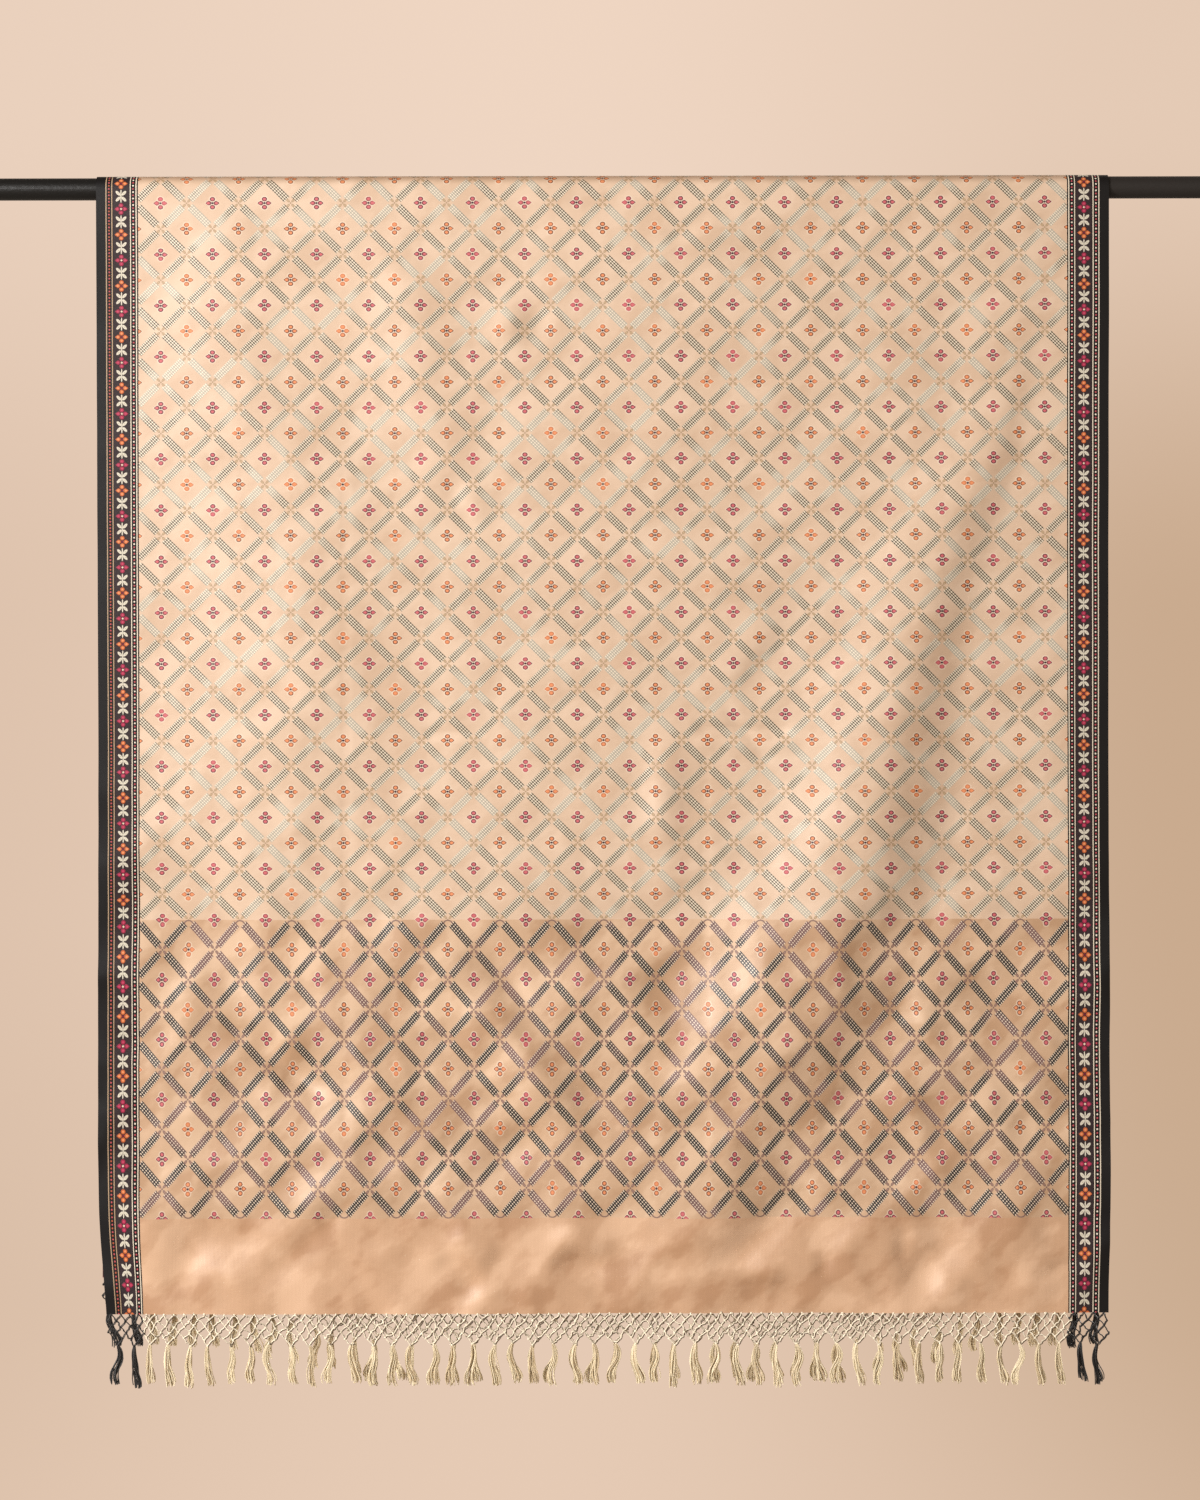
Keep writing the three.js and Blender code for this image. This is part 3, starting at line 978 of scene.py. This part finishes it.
class Growth:
    """A Geometry Nodes tree with named inputs, which ends realized and with its material."""

    def __init__(self, name, inputs):
        self.group = bpy.data.node_groups.new(name, "GeometryNodeTree")
        face = self.group.interface
        for way in ("INPUT", "OUTPUT"):
            face.new_socket("Geometry", in_out=way, socket_type="NodeSocketGeometry")
        for label, kind in inputs.items():
            face.new_socket(label, in_out="INPUT", socket_type=f"NodeSocket{kind}")
        self.inlet = self.group.nodes.new("NodeGroupInput")
        self.outlet = self.group.nodes.new("NodeGroupOutput")

    def given(self, label):
        return self.inlet.outputs[label]

    def made(self, kind, settings=None, **inputs):
        """What a new geometry node gives."""
        return add_node(self.group, f"GeometryNode{kind}", settings, **inputs).outputs[0]

    def vector(self, operation, **inputs):
        settings = {"operation": operation}
        return add_node(self.group, "ShaderNodeVectorMath", settings, **inputs).outputs[0]

    def along(self):
        """How far along its curve a point is, from 0 to 1."""
        node = add_node(self.group, "GeometryNodeSplineParameter")
        return Reading(self.group, node.outputs["Factor"])

    def drawn(self, least, most, seed):
        """A random value for each element, of the same kind as least and most."""
        settings = {"data_type": "FLOAT_VECTOR" if isinstance(least, tuple) else "FLOAT"}
        node = add_node(
            self.group, "FunctionNodeRandomValue", settings, Min=least, Max=most, Seed=seed
        )
        return find_socket(node.outputs, "Value")

    def stored(self, geometry, name, value, kind="FLOAT", domain="CURVE"):
        settings = {"data_type": kind, "domain": domain}
        return self.made(
            "StoreNamedAttribute", settings, Geometry=geometry, Name=name, Value=value
        )

    def read(self, name, kind="FLOAT"):
        settings = {"data_type": kind}
        node = add_node(self.group, "GeometryNodeInputNamedAttribute", settings, Name=name)
        return find_socket(node.outputs, "Attribute")

    def tube(self, curves, radius, sides):
        """A tube along curves, with smooth sides."""
        ring = self.made(
            "CurvePrimitiveCircle", {"mode": "RADIUS"}, Resolution=sides, Radius=radius
        )
        tube = self.made("CurveToMesh", Curve=curves, Profile_Curve=ring, Fill_Caps=True)
        return self.made("SetShadeSmooth", Geometry=tube)

    def end(self, parts):
        """Joins the parts, realizes them and gives them their material."""
        join = self.group.nodes.new("GeometryNodeJoinGeometry")
        for part in parts:
            plug(self.group, part, join.inputs[0])
        real = self.made("RealizeInstances", Geometry=join.outputs[0])
        done = self.made("SetMaterial", Geometry=real, Material=self.given("Material"))
        plug(self.group, done, self.outlet.inputs[0])
        return self.group


def net_tree():
    """Threads along the net's lines, wandering a little, each with a dark ply below it at the right
    as a painted shadow, and a knot at each crossing."""
    tree = Growth("knotted_net", {
        "Thread": "Float", "Knot": "Float", "Wander": "Float", "Seed": "Int",
        "Material": "Material",
    })
    seed, thread = tree.given("Seed"), Reading(tree.group, tree.given("Thread"))
    lines = tree.made("MeshToCurve", Mesh=tree.given("Geometry"))
    fine = tree.made("SubdivideCurve", Curve=lines, Cuts=3)
    slack = (tree.along() * math.pi).math("SINE")
    blur = add_node(
        tree.group, "ShaderNodeTexNoise", {"noise_dimensions": "4D"},
        Vector=tree.made("InputPosition"), Scale=260.0, W=seed,
    )
    swing = tree.vector("SUBTRACT", Vector=blur.outputs["Color"], Vector_001=(0.5, 0.5, 0.5))
    push = tree.vector("SCALE", Vector=swing, Scale=slack * tree.given("Wander"))
    moved = tree.made("SetPosition", Geometry=fine, Offset=push)
    pale = tree.stored(moved, "shade", tree.drawn(0.62, 1.0, seed))
    # Painted shadow: a dark ply, of shade 0, set a little below and to the right of each thread.
    dark = tree.stored(moved, "shade", 0.0)
    dark = tree.made("SetPosition", Geometry=dark, Offset=(0.8 * MM, 0.3 * MM, -0.8 * MM))
    knots = tree.made(
        "InstanceOnPoints", Points=tree.given("Geometry"),
        Instance=tree.made("MeshIcoSphere", Radius=tree.given("Knot"), Subdivisions=2),
        Scale=tree.drawn((0.75, 0.7, 0.85), (1.2, 1.0, 1.35), seed),
    )
    knots = tree.made("RealizeInstances", Geometry=knots)
    knots = tree.made("SetShadeSmooth", Geometry=tree.stored(knots, "shade", 0.9, domain="POINT"))
    return tree.end([tree.tube(pale, thread, 6), tree.tube(dark, thread * 0.75, 5), knots])


def tassel_tree():
    """A bunch of wavy strands along each tassel's middle line, tied at its top."""
    tree = Growth("tassel_strands", {
        "Strands": "Int", "Thread": "Float", "Spread": "Float", "Wave": "Float",
        "Seed": "Int", "Material": "Material",
    })
    seed = Reading(tree.group, tree.given("Seed"))
    lines = tree.made("MeshToCurve", Mesh=tree.given("Geometry"))
    smooth = tree.made("CurveSplineType", {"spline_type": "CATMULL_ROM"}, Curve=lines)
    even = tree.made("ResampleCurve", Curve=smooth, Count=13)
    strands = tree.made(
        "DuplicateElements", {"domain": "SPLINE"}, Geometry=even, Amount=tree.given("Strands")
    )
    aim = tree.drawn((-1.0, -0.55, -1.0), (1.0, 0.55, 1.0), seed)
    strands = tree.stored(strands, "aim", aim, "FLOAT_VECTOR")
    strands = tree.stored(strands, "cut", tree.drawn(0.86, 1.0, seed + 5.0))
    strands = tree.stored(strands, "shade", tree.drawn(0.4, 0.95, seed + 9.0))
    trimmed = tree.made("TrimCurve", {"mode": "FACTOR"}, Curve=strands, End=tree.read("cut"))
    way = tree.read("aim", "FLOAT_VECTOR")
    along = tree.along()
    opening = along.math("POWER", 0.55) * 0.78 + 0.22
    flat = tree.vector("MULTIPLY", Vector=way, Vector_001=(1.0, 1.0, 0.0))
    spread = tree.vector("SCALE", Vector=flat, Scale=opening * tree.given("Spread"))
    phase = split_up(tree.group, way)[2] * 1.6
    ripple = (along * 7.5 + phase).math("SINE") * (along * tree.given("Wave"))
    sideways = add_node(tree.group, "ShaderNodeCombineXYZ", X=ripple).outputs[0]
    total = tree.vector("ADD", Vector=spread, Vector_001=sideways)
    moved = tree.made("SetPosition", Geometry=trimmed, Offset=total)
    return tree.end([tree.tube(moved, tree.given("Thread"), 4)])


def grown(piece, group, values):
    """Grows a piece's plain lines through a tree, with values for its named inputs."""
    modifier = piece.modifiers.new("grow", "NODES")
    modifier.node_group = group
    for item in group.interface.items_tree:
        if item.item_type == "SOCKET" and item.in_out == "INPUT" and item.name in values:
            modifier[item.identifier] = values[item.name]
    return made_plain(piece)


def fringe_points(layer, across, below_hem):
    """Points of the fringe, a distance below the hem at each place across."""
    across = np.asarray(across, float)
    drop = layer["hem"](across) + np.asarray(below_hem, float)
    return layer_points(layer, across, drop, out=FRINGE_OUT)


PLACES = {
    "middle": (BLACK_TASSELS, TASSELS - BLACK_TASSELS),
    "left": (0, BLACK_TASSELS),
    "right": (TASSELS - BLACK_TASSELS, TASSELS),
}


def net_lines(layer, first, last, chance):
    """The net's knots, row by row, and the threads that join them, down to the ties."""
    knots, edges = [], []
    rows = []
    start_edge = -HALF_WIDTH + first * TASSEL_PITCH
    count = 2 * (last - first)
    mesh_width = TASSEL_PITCH / 2
    row_height = (NET_HEIGHT - TIE_GAP) / NET_ROWS
    for r in range(NET_ROWS + 1):
        row = []
        shifted = r % 2 == 1
        for k in range(count + (1 if shifted else 0)):
            across = start_edge + (k + (0.0 if shifted else 0.5)) * mesh_width
            across = min(max(across, -HALF_WIDTH + 0.8), HALF_WIDTH - 0.8)
            wobble = chance.uniform(-1.9, 1.9) if r else 0.0
            below = 0.2 + r * row_height + (chance.uniform(-1.3, 1.3) if r else 0.0)
            row.append(len(knots))
            knots.append((across + wobble, below))
        rows.append(row)
    for r in range(NET_ROWS):
        for k, knot in enumerate(rows[r]):
            below = rows[r + 1]
            partners = (k - 1, k) if r % 2 == 1 else (k, k + 1)
            for partner in partners:
                if 0 <= partner < len(below):
                    edges.append((knot, below[partner]))
    for tassel in range(last - first):
        tie = len(knots)
        across = start_edge + (tassel + 0.5) * TASSEL_PITCH + chance.uniform(-1.6, 1.6)
        knots.append((across, NET_HEIGHT + chance.uniform(-1.5, 1.0)))
        for knot in rows[NET_ROWS][2 * tassel:2 * tassel + 2]:
            edges.append((knot, tie))
    places = np.array(knots)
    return fringe_points(layer, places[:, 0], places[:, 1]), edges, places[-(last - first):]


def tassel_lines(layer, ties, chance):
    """The middle line of each tassel, which hangs in a loose curve of its own."""
    points, edges = [], []
    for across, below in ties:
        sway = chance.uniform(-3.6, 3.6)
        bend = chance.choice((-1, 1)) * chance.uniform(0.8, 3.8)
        length = TASSEL_LENGTH * chance.uniform(0.9, 1.0)
        for k in range(TASSEL_STEPS + 1):
            share = k / TASSEL_STEPS
            aside = sway * share + bend * math.sin(2 * math.pi * share * 0.9)
            if k:
                edges.append((len(points) - 1, len(points)))
            points.append((across + aside, below + length * share))
    places = np.array(points)
    return fringe_points(layer, places[:, 0], places[:, 1]), edges


def make_fringe(name, layer, net_group, tassel_group):
    """One layer's fringe: a cream stretch, and a black one under each border."""
    made = []
    for place, (first, last) in PLACES.items():
        chance = random.Random(f"{name} {place}")
        suffix = name if place == "middle" else f"{name}_{place}"
        yarn_finish = CREAM_YARN if place == "middle" else BLACK_YARN
        cord_finish = CREAM_CORD if place == "middle" else BLACK_YARN
        points, edges, ties = net_lines(layer, first, last, chance)
        net = grown(mesh_piece(f"net_{suffix}", points, edges=edges), net_group, {
            **NET_VALUES, "Seed": chance.randrange(100), "Material": cord_finish,
        })
        declare(net, f"fringe_net_{suffix}")
        points, edges = tassel_lines(layer, ties, chance)
        middles = mesh_piece(f"tassel_row_{suffix}", points, edges=edges)
        tassels = grown(middles, tassel_group, {
            **TASSEL_VALUES, "Seed": chance.randrange(100), "Material": yarn_finish,
        })
        declare(tassels, f"tassels_{suffix}")
        made += [net, tassels]
    return made


# ---------------- the rod and the stage

def make_rod():
    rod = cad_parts["hanging_rod"]
    rod.data.materials.clear()
    rod.data.materials.append(rod_finish())


def backdrop_finish():
    """Peach paper that glows by itself, a painted light: palest in the middle and near the top,
    deepest at the right and low down.
    """
    finish = Finish("peach_paper", 1.0, specular=0.0)
    x, y, z = finish.place()
    # Painted light: the glow is graded across and up the sweep, like lamplight falling off.
    painted_glow = finish.over(srgb(0.87, 0.765, 0.68), srgb(0.935, 0.83, 0.75), x.rises(-1900.0, -250.0))
    painted_glow = finish.over(painted_glow, srgb(0.79, 0.67, 0.56), x.rises(-150.0, 1750.0))
    painted_glow = finish.over(painted_glow, srgb(0.935, 0.84, 0.765), z.rises(-200.0, 1400.0) * 0.7)
    painted_glow = finish.over(painted_glow, srgb(0.80, 0.69, 0.585), z.rises(-900.0, -2400.0) * 0.35)
    finish.shader.inputs["Base Color"].default_value = (0, 0, 0, 1)
    finish.give("Emission Color", painted_glow)
    finish.shader.inputs["Emission Strength"].default_value = 1.0
    return finish.material


def make_backdrop():
    """A pale floor two metres below the rod that sweeps up into a far wall all round."""
    floor_level, wall_radius, cove, top = -2000.0, 6400.0, 1600.0, 6000.0
    cove_steps, turn_steps = 16, 96
    profile = [(0.0, floor_level)]
    for k in range(cove_steps + 1):
        angle = math.pi / 2 * k / cove_steps
        out = wall_radius - cove + cove * math.sin(angle)
        profile.append((out, floor_level + cove - cove * math.cos(angle)))
    profile.append((wall_radius, top))
    points = []
    for out, z in profile:
        for k in range(turn_steps):
            turn = 2 * math.pi * k / turn_steps
            points.append((out * math.sin(turn), out * math.cos(turn), z))
    faces = []
    for r in range(len(profile) - 1):
        for k in range(turn_steps):
            a, b = r * turn_steps + k, r * turn_steps + (k + 1) % turn_steps
            faces.append((a, b, b + turn_steps, a + turn_steps))
    sweep = mesh_piece("pale_sweep", points, faces, [backdrop_finish()])
    sweep.data.polygons.foreach_set("use_smooth", [True] * len(faces))
    sweep.visible_diffuse = False
    sweep.visible_glossy = False
    sweep.visible_transmission = False
    sweep.visible_shadow = False


def make_camera():
    lens = 75.0
    sensor = 36.0
    view_height = 1.5
    view_centre = Vector((-3.5, -12.0, -563.7)) * MM
    roll = math.radians(0.11)
    data = bpy.data.cameras.new("camera")
    data.lens = lens
    data.sensor_width = sensor
    camera = new_object("camera", data)
    camera.location = view_centre - Vector((0, view_height * lens / sensor, 0))
    camera.rotation_euler = (math.radians(90), roll, 0)
    bpy.context.scene.camera = camera


def area_light(name, place, aim, size, power, colour):
    data = bpy.data.lights.new(name, "AREA")
    data.shape = "RECTANGLE"
    data.size, data.size_y = size
    data.energy = power
    data.color = colour
    light = new_object(name, data)
    light.location = place
    light.visible_camera = False
    light.rotation_euler = (Vector(aim) - Vector(place)).to_track_quat("-Z", "Y").to_euler()


def make_world():
    """Warm light from all around, dim overhead, and brightest behind at the right."""
    world = bpy.data.worlds.new("studio")
    world.use_nodes = True
    tree = world.node_tree
    x, y, z = split_up(tree, add_node(tree, "ShaderNodeTexCoord").outputs["Generated"])
    ceiling = z.rises(0.0, 0.8)
    behind = (y * 0.7 + x * 0.6 + z * 0.2).rises(0.35, 1.0)
    beside = (x * 0.85 - y * 0.5).rises(0.1, 1.0)
    strength = (0.33 - ceiling * 0.20) + behind * 1.2 + beside * 0.3
    background = tree.nodes["Background"]
    background.inputs["Color"].default_value = (1.0, 0.84, 0.69, 1.0)
    plug(tree, strength, background.inputs["Strength"])
    world.cycles.sampling_method = "NONE"
    bpy.context.scene.world = world


def make_lights():
    aim = (0.0, 0.0, -0.55)
    area_light("key", (-5.0, -3.2, 1.0), aim, (1.4, 1.4), 480.0, (1.0, 0.985, 0.97))
    area_light("sheen", (-1.9, -3.0, 0.4), aim, (0.8, 0.8), 51.0, (1.0, 0.99, 0.98))
    area_light("back", (4.2, 3.6, 0.9), aim, (1.6, 1.6), 260.0, (1.0, 0.97, 0.94))


def set_look():
    """Colours as they are, and no denoising, which would wipe the fine weave away."""
    scene = bpy.context.scene
    scene.view_settings.view_transform = "Standard"
    scene.cycles.use_denoising = False


make_camera()
make_rod()
make_over_rod()
net_group, tassel_group = net_tree(), tassel_tree()
for layer_name, hanging_layer in LAYERS.items():
    fringe = make_fringe(layer_name, hanging_layer, net_group, tassel_group)
    make_layer(layer_name, hanging_layer)
make_backdrop()
make_world()
make_lights()
set_look()
